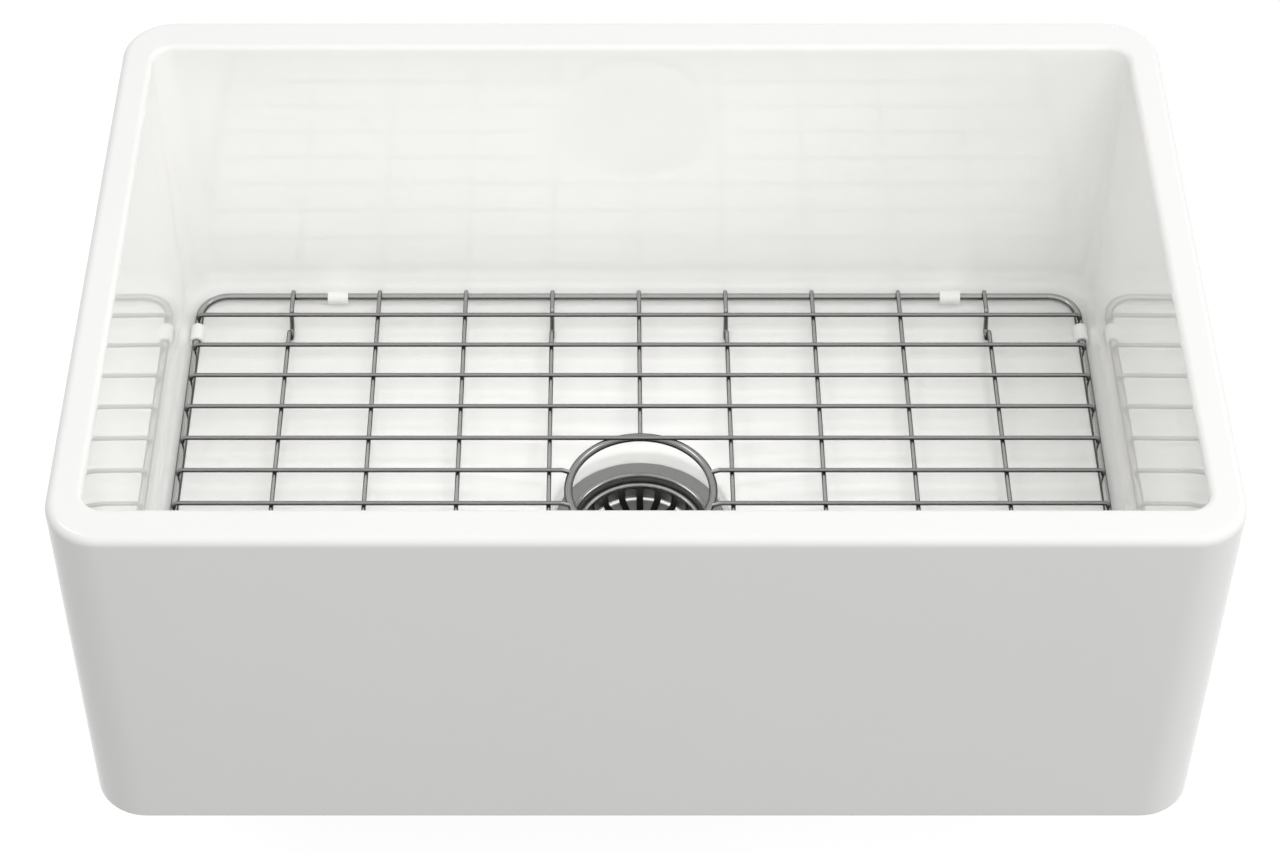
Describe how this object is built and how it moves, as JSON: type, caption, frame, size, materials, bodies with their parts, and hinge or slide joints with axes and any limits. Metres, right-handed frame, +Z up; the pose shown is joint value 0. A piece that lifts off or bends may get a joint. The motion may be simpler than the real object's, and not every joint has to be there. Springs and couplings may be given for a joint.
{
  "type": "kitchen sink",
  "caption": "Apron-front fireclay kitchen sink with one deep bowl, a lift-out wire grid on its floor, and a basket strainer with a pull-up stopper and tailpiece",
  "frame": {"origin": "middle of the footprint, on the plane of the foot that the sink rests on", "axes": "+X right, +Y to the back wall, +Z up; the apron faces -Y"},
  "size_m": [0.673, 0.457, 0.4176],
  "materials": {
    "glaze": "glossy white glaze over fireclay",
    "strainer_steel": "satin and polished stainless steel",
    "grid_steel": "bright drawn stainless wire",
    "bumper_rubber": "matt white",
    "gasket_rubber": "matt black",
    "stopper_rubber": "matt black",
    "seal_foam": "matt off-white",
    "washer_fibre": "pressed fibre",
    "washer_plastic": "matt white",
    "nut_zinc": "die-cast, dull grey",
    "tube_chrome": "polished plate",
    "bush_brass": "machined"
  },
  "bodies": {
    "sink": {"sink_body": "glaze", "strainer_body": "strainer_steel", "outlet_spud": "strainer_steel", "flange_seal": "seal_foam", "sink_gasket": "gasket_rubber", "friction_washer": "washer_fibre", "locknut": "nut_zinc", "tailpiece_washer": "washer_plastic", "tailpiece": "tube_chrome", "coupling_nut": "tube_chrome"},
    "grid": {"grid_frame": "grid_steel", "drain_ring": "grid_steel", "long_wires": "grid_steel", "foot_wires": "grid_steel", "cross_wires": "grid_steel", "back_bumpers": "bumper_rubber", "side_bumpers": "bumper_rubber", "front_bumpers": "bumper_rubber"},
    "basket": {"basket_cup": "strainer_steel", "basket_bush": "bush_brass", "post_clip": "strainer_steel"},
    "stopper": {"stopper_post": "strainer_steel", "knob": "strainer_steel", "rubber_stopper": "stopper_rubber", "stopper_nut": "strainer_steel"}
  },
  "joints": [
    {"name": "grid_lift", "type": "slide", "parent": "sink", "child": "grid", "axis": [0, 0, 1], "range_m": [0, 0.23]},
    {"name": "basket_lift", "type": "slide", "parent": "sink", "child": "basket", "axis": [0, 0, 1], "range_m": [0, 0.31]},
    {"name": "stopper_pull", "type": "slide", "parent": "basket", "child": "stopper", "axis": [0, 0, 1], "range_m": [0, 0.008]}
  ]
}
